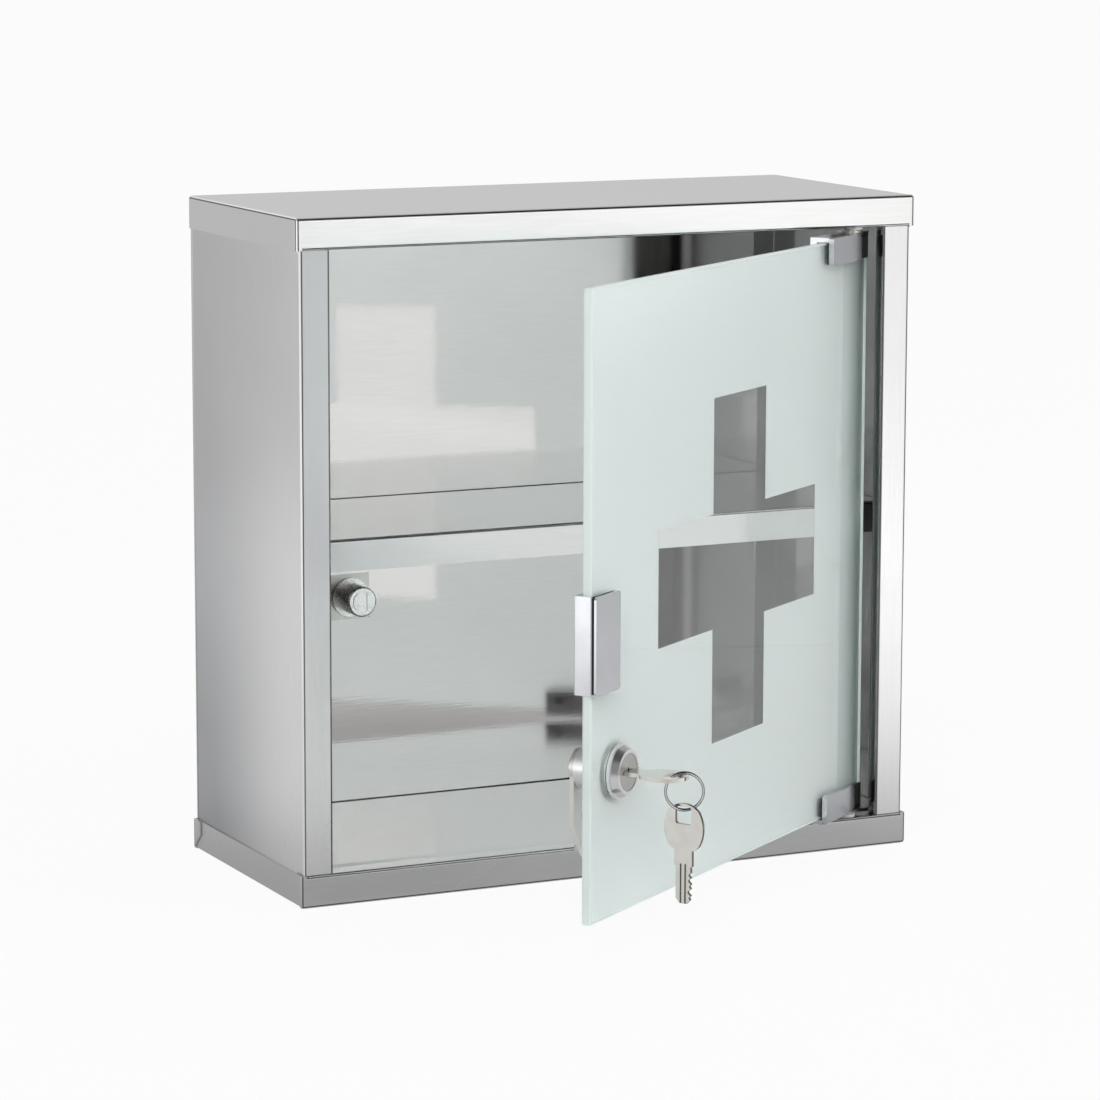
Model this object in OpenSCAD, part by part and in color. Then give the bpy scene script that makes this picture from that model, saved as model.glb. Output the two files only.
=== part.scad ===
// Wall-mounted first aid cabinet with a glass door that stands ajar.
// Units are millimetres. The origin is the centre of the underside, +Z is up,
// the door is on the -Y side and the wall is on the +Y side.

/* [Cabinet] */
// Overall width over the side lips of the cap
cab_w = 300; // [290:1:400]
// Overall depth, fascia to wall
cab_d = 130; // [115:1:180]
// Overall height
cab_h = 300; // [290:1:420]
// Thickness of the steel sheet
sheet_t = 0.8; // [0.6:0.1:1.2]
// Outer radius of the folded edges
bend_r = 1.5; // [1.4:0.1:2.5]
// Gap between sheets that slide over each other
slip = 0.1; // [0.05:0.05:0.2]
// Height of the cap's fascia
cap_h = 14; // [13:0.5:24]
// Height of the cap's side and rear lips
cap_lip_h = 14.6; // [12:0.2:24]
// Height of the tray's fascia
tray_h = 14.5; // [13:0.5:24]
// Height of the tray's side and rear lips
tray_lip_h = 13.9; // [11:0.1:24]
// Depth of the flange that a fascia folds back into
return_d = 18; // [17:0.5:24]
// Width of the corner tabs at the front
front_tab_w = 10.8; // [6:0.2:14]
// Width of the corner tabs at the rear of the tray
rear_tab_w = 8.4; // [6:0.2:14]

/* [Body sheets] */
// Width of the front flange beside the door
flange_w = 14; // [12:0.5:16]
// Depth of the lip behind the front flange
flange_lip = 6; // [4:0.5:8]
// Width of the rear flange that the back panel lies on
rear_flange_w = 12; // [8:0.5:20]
// Radius of the wall screw holes
wall_hole_r = 3.25; // [2:0.25:4]
// Distance between the wall screw holes across
wall_hole_dx = 220; // [120:1:230]
// Distance between the wall screw holes up the wall
wall_hole_dz = 200; // [170:1:230]
// Height of the shelf's top face above the base
shelf_z = 158; // [158:1:200]
// Height of the shelf's folded lips
shelf_lip = 14.2; // [8:0.2:16]
// Distance of the shelf's lip behind the front of the fascia
shelf_setback = 18.5; // [18:0.5:40]
// Distance of the floor and ceiling sheets behind the fascia
deck_setback = 13; // [12:0.5:16]

/* [Door] */
// Angle at which the door stands open
door_angle = 36; // [0:1:110]
// Thickness of the glass
glass_t = 4; // [3:0.5:5]
// Width of the ground chamfer on the glass edges
glass_chamfer = 0.5; // [0.2:0.1:0.8]
// Thickness of the frosted layer on the rear of the glass
film_t = 0.2; // [0.1:0.05:0.3]
// Gap between the closed door and the flanges
door_gap = 1.3; // [1:0.1:2]
// Distance of the hinge axis from the hinge-side flange
hinge_inset = 12.6; // [12.6:0.2:16]
// Distance of the hinge axis behind the fascia
hinge_depth = 6; // [5.6:0.2:8]
// Width of each of the five fields of the clear cross
cross_arm_w = 51.3; // [20:0.1:56]
// Height of each of the five fields of the clear cross
cross_arm_h = 50; // [20:0.1:56]
// Distance of the middle of the cross from the hinge axis
cross_u = 115.6; // [112:0.2:120]
// Height of the middle of the cross above the base
cross_z = 149; // [146:0.5:154]

/* [Hinges] */
// Length of a hinge clip along the glass
clip_len = 42.5; // [36:0.5:60]
// Length of the clip's front plate
clip_plate_len = 30; // [24:0.5:34]
// Depth of a clip's jaws over the glass
clip_grip = 9.8; // [8:0.2:14]
// How far a clip stands out past the glass edge
clip_wrap = 2.4; // [2.2:0.1:3.5]
// How far the lower clip's front plate is set up from its bridge
plate_step = 1; // [0:0.1:1.2]
// Thickness of the front plate
clip_front_t = 2.4; // [1.6:0.1:2.6]
// Thickness of the rear jaw
clip_rear_t = 3.2; // [2.4:0.1:3.2]
// Thickness of the rubber between the glass and the jaws
clip_pad_t = 0.9; // [0.5:0.1:0.9]
// Radius of the hinge-side corner of the front plate
clip_corner_r = 3.5; // [1:0.5:5]
// Radius of the hinge pins
pin_r = 2.25; // [1.5:0.05:2.5]
// Radial running clearance of the pins and the plug
run_gap = 0.05; // [0.03:0.01:0.1]
// Vertical play of the door at the upper hinge
top_play = 0.4; // [0:0.1:0.8]
// Thickness of a pin's collar and of a bush's flange
collar_t = 1; // [0.8:0.1:1.2]
// Wall thickness of the bushes
bush_wall = 0.9; // [0.6:0.1:1]
// Length of the bushes behind the fascia's flange
bush_len = 3; // [2.4:0.2:5]
// Radius of the grub screws in the clips and the handle
grub_r = 2; // [1.5:0.1:2]

/* [Handle] */
// Height of the handle
handle_h = 41; // [36:1:60]
// Height of the handle's middle above the base
handle_z = 135.4; // [130:0.2:141]
// Width of the front cover plate
handle_plate_w = 21.3; // [14:0.1:22]
// Width of the rear jaw that the magnet pulls on
handle_jaw_w = 24.5; // [24.5:0.5:30]
// Thickness of the cover plate
handle_plate_t = 1; // [0.8:0.1:2]
// Thickness of the black foam under the cover plate
handle_foam_t = 1.2; // [0.8:0.1:2]
// Thickness of the folded clip round the free edge
handle_sheet_t = 0.6; // [0.6:0.1:0.9]
// Thickness of the rear jaw
handle_rear_t = 3; // [2.4:0.1:4]
// Thickness of the liner between clip and glass
liner_t = 0.3; // [0.2:0.1:0.6]

/* [Catch] */
// Distance of the catch from the middle of the cabinet
catch_x = 116; // [115:0.5:118]
// Height of the catch above the base
catch_z = 131; // [128:1:132]
// Radius of the catch body
catch_r = 6.6; // [6.2:0.1:7]
// Length of the catch body
catch_len = 13; // [12:0.5:20]
// Radius of the catch's mounting collar
catch_collar_r = 8.5; // [7.5:0.1:9]
// Gap between the poles and the handle of the closed door
catch_gap = 0.3; // [0.2:0.1:0.8]
// Thickness of the catch bracket
bracket_t = 1.2; // [0.8:0.1:2]

/* [Lock] */
// Distance of the lock from the free edge of the glass
lock_edge = 24.2; // [24:0.2:30]
// Height of the lock above the base
lock_z = 79.4; // [70:0.2:82]
// Radius of the threaded lock body
barrel_r = 9.4; // [9.2:0.1:10]
// Length of the lock body behind the middle of the glass
barrel_len = 14.2; // [13:0.2:20]
// Radius of the bezel
bezel_r = 11.8; // [11.6:0.1:14]
// Height of the bezel above the glass
bezel_h = 5; // [4.4:0.2:7]
// Radius of the plug's face
plug_face_r = 8; // [7.6:0.1:8.2]
// Radius of the plug's shank
plug_r = 6; // [6:0.1:6.5]
// Length of the cam from the lock axis to its tip
cam_len = 39; // [34:0.5:39]
// Thickness of the cam
cam_t = 2; // [1.5:0.1:2.5]
// Offset of the cam's tip towards the glass
cam_step = 2.2; // [1:0.1:3]

/* [Keys] */
// Radius of a key's bow
bow_r = 10.3; // [10.1:0.1:10.5]
// Width of a key's bow across its flatter sides
bow_w = 18.6; // [17:0.2:20]
// Thickness of a key
key_t = 1.6; // [1.4:0.1:1.7]
// Distance from a key's shoulder to the middle of its bow
neck_len = 16; // [15:0.2:20]
// Length of a key's blade
blade_len = 15.8; // [15:0.1:16]
// Width of a key's blade
blade_w = 7; // [6.4:0.1:7.2]
// How far the key's shoulder stands off the plug's face
key_out = 0.3; // [0.2:0.1:1]
// Mean radius of the split ring
ring_r = 7.8; // [7.3:0.1:8]
// Radius of the split ring's wire
wire_r = 0.55; // [0.4:0.05:0.55]

/* [Hidden] */
$fn = 48;

// Small clearances shared by several pieces
cut = 1;
fit = 0.05;
press = 0.02;

// Cabinet faces worked out from the overall size
front_y = -cab_d / 2;
back_y = cab_d / 2;
half_w = cab_w / 2;
side_x = half_w - sheet_t - slip;
web_in = side_x - sheet_t;
deck_x = web_in - slip;
inner_r = bend_r - sheet_t;
// Ends of the floor and ceiling sheets, clear of the rear bends of the sides
deck_end = web_in - inner_r - fit;
// Lets the square end of a sheet clear the inside of the bend that it stops at
edge_gap = inner_r - sqrt(inner_r ^ 2 - (inner_r - slip) ^ 2) + fit;
flange_y = front_y + sheet_t + slip;
rear_y = back_y - 2 * sheet_t - slip;
deck_back_y = rear_y - sheet_t;
open_x = side_x - flange_w;
open_z0 = tray_h;
open_z1 = cab_h - cap_h;
deck_y = front_y + deck_setback;
shelf_y = front_y + shelf_setback;
tab_x = half_w + slip + sheet_t;
deck_lip = 9;
tab_slant = 0.55;
front_narrow = 3.4;
rear_narrow = 1.6;

// Door, in its own axes: u from the hinge axis to the free edge, n out of the
// front of the glass with zero at its middle, z up
axis_x = open_x - hinge_inset;
axis_y = front_y + hinge_depth;
run_end = 0.1;
pivot_gap = 2 * collar_t + run_end;
glass_u0 = door_gap - hinge_inset;
handle_u1 = axis_x + open_x - door_gap;
glass_u1 = handle_u1 - handle_sheet_t - liner_t;
glass_z0 = open_z0 + pivot_gap + clip_wrap;
glass_z1 = open_z1 - pivot_gap - clip_wrap - top_play;
glass_n = glass_t / 2;
film_n = -glass_n - film_t;
// Adhesive between the glass and the frosted layer, left open here
film_bond = 0.03;
film_margin = 0.6;
hole_play = 0.6;

// Hinge clip stack through the glass
clip_u0 = glass_u0 + 0.8;
clip_u1 = clip_u0 + clip_len;
clip_front_n = glass_n + clip_pad_t;
clip_rear_n = film_n - clip_pad_t;
clip_seat = 0.3;
plate_inner_r = 2;
plate_edge_r = 0.6;
bridge_n = clip_front_n + 1.2;
collar_r = pin_r + 1.2;
bush_r = pin_r + run_gap + bush_wall;
bush_rim = 1;
bush_barb = 0.4;
screw_sink = 0.3;
socket_r = 1.15;
socket_d = 1.5;

// Handle stack through the glass
handle_front_n = glass_n + handle_sheet_t;
handle_back_n = film_n - liner_t - handle_rear_t;
foam_inset = 0.7;
handle_screw_u = handle_u1 - 8;
handle_screw_dz = 13;
cover_r = 1.6;

// Catch, measured back from the closed door
pole_proud = 0.3;
catch_face_y = axis_y - handle_back_n + catch_gap + pole_proud;
collar_len = 1.6;
catch_back = catch_len + collar_len;
catch_floor = 3;
catch_wall = 1.2;
pole_r = 4.4;
pole_in = 2;
pole_gap = 0.1;
bracket_h = 20;
bracket_foot = 20;
rivet_r = 2.4;
rivet_head = 1.2;

// Lock stack along its axis, from the middle of the glass
lock_u = glass_u1 - lock_edge;
lock_hole_r = barrel_r + hole_play;
gasket_t = 0.5;
washer_t = 0.8;
nut_t = 4;
nut_flat = 24;
bezel_base = 1.5;
barrel_flat = 8.2;
notch_r = 9.3;
bezel_top = glass_n + bezel_h;
seat_n = bezel_top - 1.5;
plug_top = bezel_top - 0.2;
cam_gap = 0.2;
cam_n = -barrel_len - cam_gap - cam_t;
cam_hub_r = 8.5;
cam_half_w = 8;
cam_bend = 24.5;
cam_slope = 4.5;
tail_r = 3.9;
tail_flat = 2.9;
screw_r = 1.75;
screw_len = 5;

// Keys, keyway and wafers
key_gap = 0.1;
shoulder_n = plug_top + key_out;
blade_end_n = shoulder_n - blade_len;
slot_w = blade_w + 3 * key_gap;
slot_t = key_t + 2 * key_gap;
wafer_count = 5;
wafer_pitch = 2.4;
wafer_t = 0.8;
wafer_x = 5;
wafer_y = 2.8;
ward_h = 4;
ward_w = 1;
neck_w = 8.4;
bow_side_r = 14;
hole_y = 5.3;
hole_len = 7.4;
hole_w = 7.8;
hole_r = 1.2;
groove_x = 1.1;
groove_w = 0.8;
groove_d = 0.35;
notch_depths = [0.7, 1.3, 0.5, 1, 0.8];

// Split ring on the inserted key, and the spare key on the ring
ring_turn = 28;
spare_turn = 33;
ring_gap = 0.65;
ring_hang = ring_r - wire_r - key_t / 2 - ring_gap;
ring_out = 3.8;
ring_n = shoulder_n + neck_len + hole_y + ring_out * cos(ring_turn);
ring_u = lock_u - ring_out * sin(ring_turn);
ring_z = lock_z - ring_hang;
spare_gap = 1;
spare_z = ring_z - ring_r + wire_r + spare_gap - neck_len - hole_y - hole_len / 2;

// Helpers

// Sheet folded at right angles: the points run along its outer line with every
// bend to the left, and the sheet lies on the left of that line
module folded(pts, t = sheet_t, r = bend_r) {
    n = len(pts) - 1;
    for (i = [0 : n - 1]) {
        d = (pts[i + 1] - pts[i]) / norm(pts[i + 1] - pts[i]);
        left = [-d.y, d.x];
        a = pts[i] + d * (i > 0 ? r : 0);
        b = pts[i + 1] - d * (i < n - 1 ? r : 0);
        polygon([a, b, b + left * t, a + left * t]);
        if (i < n - 1) {
            c = b + left * r;
            intersection() {
                translate(c) difference() {
                    circle(r);
                    circle(r - t);
                }
                polygon([c, b, b + d * r, c + d * r]);
            }
        }
    }
}

// A (y, z) outline run along X from x0 to x1
module along_x(x0, x1) {
    translate([x0, 0, 0]) rotate([90, 0, 90]) linear_extrude(x1 - x0) children();
}

// An (x, z) outline run along Y from y0 to y1
module along_y(y0, y1) {
    translate([0, y1, 0]) rotate([90, 0, 0]) linear_extrude(y1 - y0) children();
}

// Rectangle with round corners, from its lowest corner
module round_rect(size, r) {
    translate([r, 0]) square([size.x - 2 * r, size.y]);
    translate([0, r]) square([size.x, size.y - 2 * r]);
    for (x = [r, size.x - r], y = [r, size.y - r]) translate([x, y]) circle(r);
}

// Ring between two radii, standing on z = 0
module ring(h, outer, inner) {
    difference() {
        cylinder(h = h, r = outer);
        translate([0, 0, -cut]) cylinder(h = h + 2 * cut, r = inner);
    }
}

// Puts a piece drawn in door axes into its place on the door
module on_door() {
    translate([axis_x, axis_y, 0]) rotate([0, 0, 180 + door_angle]) children();
}

// Lock axes: x along the glass, y down, z out of the front
module at_lock() {
    on_door() translate([lock_u, 0, lock_z]) rotate([-90, 0, 0]) children();
}

// Upper clip axes: z = 0 on the glass edge, up out of the glass
module at_upper_clip() {
    on_door() translate([0, 0, glass_z1]) children();
}

// Lower clip axes: the same, the other way up
module at_lower_clip() {
    on_door() translate([0, 0, glass_z0]) mirror([0, 0, 1]) children();
}

// Catch axes: x across, y up, z out of the face towards the door
module at_catch() {
    translate([-catch_x, catch_face_y, catch_z]) rotate([90, 0, 0]) children();
}

// Cap and tray

// Shallow pan with its plate on z = 0 and its lips standing up
module pan(h, lip_h, rear_tabs) {
    flat_x = half_w - bend_r;
    difference() {
        union() {
            along_x(-flat_x, flat_x)
                folded([[front_y, h - bend_r], [front_y, 0], [back_y, 0], [back_y, lip_h]]);
            along_y(front_y + bend_r, back_y - bend_r)
                folded([[-half_w, lip_h], [-half_w, 0], [half_w, 0], [half_w, lip_h]]);
            corner_tabs(h, front_tab_w);
            if (rear_tabs) mirror([0, 1, 0]) corner_tabs(lip_h, rear_tab_w);
            along_x(-deck_x, deck_x)
                folded([[front_y + return_d, h], [front_y, h], [front_y, h - bend_r - cut]]);
        }
        tab_slants(h, front_tab_w, front_narrow);
        if (rear_tabs) mirror([0, 1, 0]) tab_slants(lip_h, rear_tab_w, rear_narrow);
        along_x(-deck_x, deck_x) fold_corner(h);
        translate([axis_x, axis_y, h - sheet_t - cut])
            cylinder(h = sheet_t + 2 * cut, r = bush_r + fit);
    }
}

// What a square edge has outside the bend that replaces it
module fold_corner(h) {
    difference() {
        translate([front_y - cut, h - bend_r]) square([bend_r + cut, bend_r + cut]);
        translate([front_y + bend_r, h - bend_r]) circle(bend_r);
        translate([front_y + bend_r, h - bend_r - cut]) square([cut, bend_r + 2 * cut]);
    }
}

// Front of a pan above its bend, wrapped round both corners onto the side lips
module corner_tabs(h, w) {
    translate([0, 0, bend_r]) linear_extrude(h - bend_r)
        folded([[-tab_x, front_y + w], [-tab_x, front_y], [tab_x, front_y],
            [tab_x, front_y + w]]);
    along_x(-tab_x + bend_r, tab_x - bend_r)
        folded([[front_y, bend_r + fit], [front_y, 0], [front_y + bend_r + fit, 0]]);
    for (side = [0, 1]) mirror([side, 0, 0])
        translate([tab_x - bend_r, front_y + bend_r, bend_r]) round_corner();
}

// Eighth of a hollow ball that closes the corner where three edges meet
module round_corner() {
    rotate([0, 0, -90]) rotate_extrude(angle = 90) intersection() {
        difference() {
            circle(bend_r);
            circle(bend_r - sheet_t);
        }
        translate([0, -bend_r]) square(bend_r);
    }
}

// Slanting cuts that narrow the tabs towards the plate
module tab_slants(h, w, narrow) {
    depth = sheet_t + slip / 2;
    for (x = [-tab_x - cut, tab_x - depth])
        along_x(x, x + depth + cut) translate([front_y, 0])
            polygon([[narrow, -cut], [w + cut, -cut], [w + cut, h * tab_slant],
                [w, h * tab_slant], [narrow, bend_r]]);
}

module top_cap() {
    color([0.90, 0.90, 0.89])
        translate([0, 0, cab_h]) mirror([0, 0, 1]) pan(cap_h, cap_lip_h, false);
}

module bottom_tray() {
    color([0.72, 0.72, 0.73]) pan(tray_h, tray_lip_h, true);
}

// Body sheets

// Left panel: web, front flange with its lip, and rear flange
module side_panel() {
    z0 = sheet_t + edge_gap;
    z1 = cab_h - z0;
    f0 = open_z0 + slip;
    f1 = open_z1 - slip;
    translate([0, 0, f0]) linear_extrude(f1 - f0)
        folded([[-side_x + rear_flange_w, rear_y], [-side_x, rear_y], [-side_x, flange_y],
            [-open_x, flange_y], [-open_x, flange_y + flange_lip]]);
    translate([0, 0, z0]) linear_extrude(z1 - z0)
        folded([[-side_x + rear_flange_w, rear_y], [-side_x, rear_y],
            [-side_x, flange_y + bend_r]]);
}

module left_side() {
    color([0.70, 0.70, 0.71]) side_panel();
}

module right_side() {
    color([0.84, 0.84, 0.84]) mirror([1, 0, 0]) side_panel();
}

module back_panel() {
    z0 = sheet_t + edge_gap;
    color([0.78, 0.79, 0.78]) difference() {
        translate([-side_x, rear_y, z0]) cube([2 * side_x, sheet_t, cab_h - 2 * z0]);
        for (sx = [-1, 1], sz = [-1, 1])
            translate([sx * wall_hole_dx / 2, rear_y - cut, (cab_h + sz * wall_hole_dz) / 2])
                rotate([-90, 0, 0]) cylinder(h = sheet_t + 2 * cut, r = wall_hole_r);
    }
}

module floor_sheet() {
    z = open_z0 + sheet_t;
    color([0.74, 0.75, 0.75]) along_x(-deck_end, deck_end)
        folded([[deck_back_y, z - deck_lip], [deck_back_y, z], [deck_y, z]]);
}

module ceiling_sheet() {
    z = open_z1 - sheet_t;
    color([0.74, 0.75, 0.75]) along_x(-deck_end, deck_end)
        folded([[deck_y, z], [deck_back_y, z], [deck_back_y, z + deck_lip]]);
}

module shelf() {
    low = shelf_z - shelf_lip;
    color([0.82, 0.83, 0.82]) {
        along_x(-web_in + bend_r, web_in - bend_r)
            folded([[deck_back_y, low], [deck_back_y, shelf_z], [shelf_y, shelf_z],
                [shelf_y, low]]);
        along_y(shelf_y + bend_r, deck_back_y - bend_r)
            folded([[web_in, low], [web_in, shelf_z], [-web_in, shelf_z], [-web_in, low]]);
    }
}

// Magnetic catch

module catch_bracket() {
    y = catch_face_y + catch_back;
    reach = -catch_x + catch_collar_r + 0.8;
    color([0.62, 0.62, 0.62]) difference() {
        translate([0, 0, catch_z - bracket_h / 2]) linear_extrude(bracket_h)
            folded([[-web_in, y + bracket_foot], [-web_in, y], [reach, y]],
                bracket_t, bracket_t + 0.8);
        translate([-catch_x, y - cut, catch_z]) rotate([-90, 0, 0])
            cylinder(h = bracket_t + 2 * cut, r = rivet_r + fit);
    }
}

// Outlines of the two poles, grown by g
module pole_outlines(g) {
    for (side = [-1, 1]) intersection() {
        circle(pole_r + g);
        translate([side > 0 ? pole_in - g : -pole_r - cut, -pole_r - cut])
            square([pole_r + cut - pole_in + g, 2 * pole_r + 2 * cut]);
    }
}

module catch_housing() {
    color([0.80, 0.79, 0.77]) at_catch() difference() {
        union() {
            translate([0, 0, -catch_len]) cylinder(h = catch_len - 0.6, r = catch_r);
            translate([0, 0, -0.6]) cylinder(h = 0.6, r1 = catch_r, r2 = catch_r - 0.6);
            translate([0, 0, -catch_back]) cylinder(h = collar_len, r = catch_collar_r);
        }
        translate([0, 0, -catch_len + catch_floor])
            cylinder(h = catch_len - catch_floor - catch_wall, r = catch_r - catch_wall);
        translate([0, 0, -2 * catch_wall]) linear_extrude(2 * catch_wall + cut)
            pole_outlines(pole_gap);
        translate([0, 0, -catch_back - cut]) cylinder(h = 4, r = rivet_r + fit);
        for (z = [-4, -6.5, -9]) translate([0, 0, z]) ring(1, catch_r + cut, catch_r - 0.4);
    }
}

module catch_magnet() {
    width = 2 * (pole_in - pole_gap);
    color([0.20, 0.20, 0.21]) at_catch()
        translate([-width / 2, -3.6, -catch_len + catch_floor])
            cube([width, 7.2, catch_len - catch_floor - catch_wall - 0.2]);
}

module catch_pole_plates() {
    color([0.86, 0.85, 0.83]) at_catch()
        translate([0, 0, -catch_len + catch_floor])
            linear_extrude(catch_len - catch_floor + pole_proud) pole_outlines(0);
}

module catch_rivet() {
    color([0.66, 0.66, 0.66]) at_catch() {
        translate([0, 0, -catch_back - bracket_t - rivet_head])
            cylinder(h = rivet_head, r = 4.2);
        translate([0, 0, -catch_back - bracket_t])
            cylinder(h = bracket_t + 2.6, r = rivet_r);
    }
}

// Hinges

// Nylon bush: flange below z = 0, barbed sleeve above it
module hinge_bush() {
    barb_z = sheet_t + run_end;
    difference() {
        union() {
            translate([0, 0, -collar_t]) cylinder(h = collar_t, r = bush_r + bush_rim);
            cylinder(h = sheet_t + bush_len, r = bush_r);
            translate([0, 0, barb_z])
                cylinder(h = bush_len - run_end, r1 = bush_r + bush_barb, r2 = bush_r);
        }
        translate([0, 0, -2 * collar_t])
            cylinder(h = sheet_t + bush_len + 3 * collar_t, r = pin_r + run_gap);
    }
}

module upper_hinge_bush() {
    color([0.93, 0.92, 0.88]) translate([axis_x, axis_y, open_z1]) hinge_bush();
}

module lower_hinge_bush() {
    color([0.93, 0.92, 0.88])
        translate([axis_x, axis_y, open_z0]) mirror([0, 0, 1]) hinge_bush();
}

// Pin fixed in the clip's bridge, with the collar that runs on the bush
module hinge_pin(play) {
    tip = clip_wrap + pivot_gap + play + sheet_t + bush_len - 0.6;
    translate([0, 0, clip_seat]) cylinder(h = tip - 0.4 - clip_seat, r = pin_r);
    translate([0, 0, tip - 0.4]) cylinder(h = 0.4, r1 = pin_r, r2 = pin_r - 0.4);
    translate([0, 0, clip_wrap]) cylinder(h = collar_t, r = collar_r);
}

module upper_hinge_pin() {
    color([0.80, 0.80, 0.80]) at_upper_clip() hinge_pin(top_play);
}

module lower_hinge_pin() {
    color([0.80, 0.80, 0.80]) at_lower_clip() hinge_pin(0);
}

// Clip round the glass edge: rear jaw, bridge and front plate
module hinge_clip(step) {
    plate_u0 = clip_u1 - clip_plate_len;
    rear_n = clip_rear_n - clip_rear_t;
    height = clip_grip + clip_wrap;
    difference() {
        union() {
            translate([clip_u0, rear_n, -clip_grip]) cube([clip_len, clip_rear_t, height]);
            translate([clip_u0, rear_n, clip_seat])
                cube([clip_len, clip_front_n - rear_n, clip_wrap - clip_seat]);
            translate([plate_u0 + clip_corner_r, clip_front_n - fit, clip_seat])
                cube([clip_plate_len - clip_corner_r - 1, bridge_n - clip_front_n,
                    clip_wrap - clip_seat]);
            along_y(clip_front_n, clip_front_n + clip_front_t)
                plate_outline(plate_u0, -clip_grip - step, height);
        }
        translate([0, 0, -cut]) cylinder(h = clip_wrap + 2 * cut, r = pin_r + press);
        clip_screw_places() translate([0, 0, -cut])
            cylinder(h = clip_rear_t + 2 * cut, r = grub_r + fit);
    }
}

// Front plate with both hinge-side corners well rounded
module plate_outline(u0, z0, h) {
    translate([u0, z0]) difference() {
        round_rect([clip_plate_len, h], plate_edge_r);
        corner_cut(plate_inner_r);
        translate([0, h]) mirror([0, 1]) corner_cut(clip_corner_r);
    }
}

// What a square corner at the origin has outside its rounding
module corner_cut(r) {
    difference() {
        translate([-cut, -cut]) square(r + cut);
        translate([r, r]) circle(r);
    }
}

// Places of the grub screws, z = 0 on the rear face of the jaw and up to the glass
module clip_screw_places() {
    for (u = [clip_u0 + 17, clip_u1 - 7])
        translate([u, clip_rear_n - clip_rear_t, -clip_grip / 2]) rotate([-90, 0, 0]) children();
}

// Grub screw with a hexagon socket in its rear end
module grub_screw(thick) {
    translate([0, 0, screw_sink]) difference() {
        cylinder(h = thick - screw_sink - fit, r = grub_r);
        translate([0, 0, -cut]) cylinder(h = socket_d + cut, r = socket_r, $fn = 6);
    }
}

// Rubber channel between the clip and the glass
module hinge_pad() {
    u0 = clip_u0 + 0.5;
    length = clip_len - 0.8;
    low = -clip_grip + 0.3;
    difference() {
        translate([u0, clip_rear_n, low])
            cube([length, clip_front_n - clip_rear_n, clip_seat - low]);
        translate([u0 - cut, film_n, low - cut])
            cube([length + 2 * cut, glass_n - film_n, cut - low]);
        translate([0, 0, -cut]) cylinder(h = 2 * cut, r = pin_r + press);
    }
}

module upper_hinge_clip() {
    color([0.66, 0.66, 0.70]) at_upper_clip() hinge_clip(0);
}

module lower_hinge_clip() {
    color([0.66, 0.66, 0.70]) at_lower_clip() hinge_clip(plate_step);
}

module upper_hinge_pad() {
    color([0.10, 0.10, 0.11]) at_upper_clip() hinge_pad();
}

module lower_hinge_pad() {
    color([0.10, 0.10, 0.11]) at_lower_clip() hinge_pad();
}

module upper_hinge_screws() {
    color([0.30, 0.30, 0.31]) at_upper_clip() clip_screw_places() grub_screw(clip_rear_t);
}

module lower_hinge_screws() {
    color([0.30, 0.30, 0.31]) at_lower_clip() clip_screw_places() grub_screw(clip_rear_t);
}

// Glass

// Long thin rectangle with its four corners cut off
module chamfered(a, b, t, c) {
    polygon([[a + c, -t], [b - c, -t], [b, -t + c], [b, t - c], [b - c, t], [a + c, t],
        [a, t - c], [a, -t + c]]);
}

module door_glass() {
    color([0.80, 0.87, 0.85, 0.6]) on_door() difference() {
        intersection() {
            translate([0, 0, glass_z0]) linear_extrude(glass_z1 - glass_z0)
                chamfered(glass_u0, glass_u1, glass_n, glass_chamfer);
            along_x(glass_u0, glass_u1) rotate(90) mirror([0, 1])
                chamfered(glass_z0, glass_z1, glass_n, glass_chamfer);
        }
        translate([lock_u, -glass_t, lock_z]) rotate([-90, 0, 0])
            cylinder(h = 2 * glass_t, r = lock_hole_r);
    }
}

// Frosted layer with the cross left clear
module frosted_layer() {
    u0 = glass_u0 + film_margin;
    z0 = glass_z0 + film_margin;
    color([0.88, 0.91, 0.91]) on_door() along_y(film_n, -glass_n - film_bond) difference() {
        translate([u0, z0])
            square([glass_u1 - film_margin - u0, glass_z1 - film_margin - z0]);
        square_at(3 * cross_arm_w, cross_arm_h);
        square_at(cross_arm_w, 3 * cross_arm_h);
        translate([lock_u, lock_z]) circle(lock_hole_r + 0.3);
    }
}

// Rectangle centred on the cross
module square_at(w, h) {
    translate([cross_u - w / 2, cross_z - h / 2]) square([w, h]);
}

// Handle

module handle_clip() {
    jaw_u0 = handle_u1 - handle_jaw_w;
    leaf_u0 = handle_u1 - handle_plate_w + foam_inset;
    color([0.74, 0.75, 0.77]) on_door() difference() {
        translate([0, 0, handle_z - handle_h / 2]) linear_extrude(handle_h) difference() {
            translate([jaw_u0, handle_back_n])
                round_rect([handle_jaw_w, handle_front_n - handle_back_n], 0.5);
            translate([jaw_u0 - cut, film_n - liner_t])
                square([handle_jaw_w - handle_sheet_t + cut, glass_n - film_n + liner_t]);
            translate([jaw_u0 - cut, 0]) square([leaf_u0 - jaw_u0 + cut, glass_t]);
        }
        handle_screw_places() translate([0, 0, -cut])
            cylinder(h = handle_rear_t + 2 * cut, r = grub_r + fit);
    }
}

module handle_screw_places() {
    for (side = [-1, 1])
        translate([handle_screw_u, handle_back_n, handle_z + side * handle_screw_dz])
            rotate([-90, 0, 0]) children();
}

module handle_screws() {
    color([0.30, 0.30, 0.31]) on_door() handle_screw_places() grub_screw(handle_rear_t);
}

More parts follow.
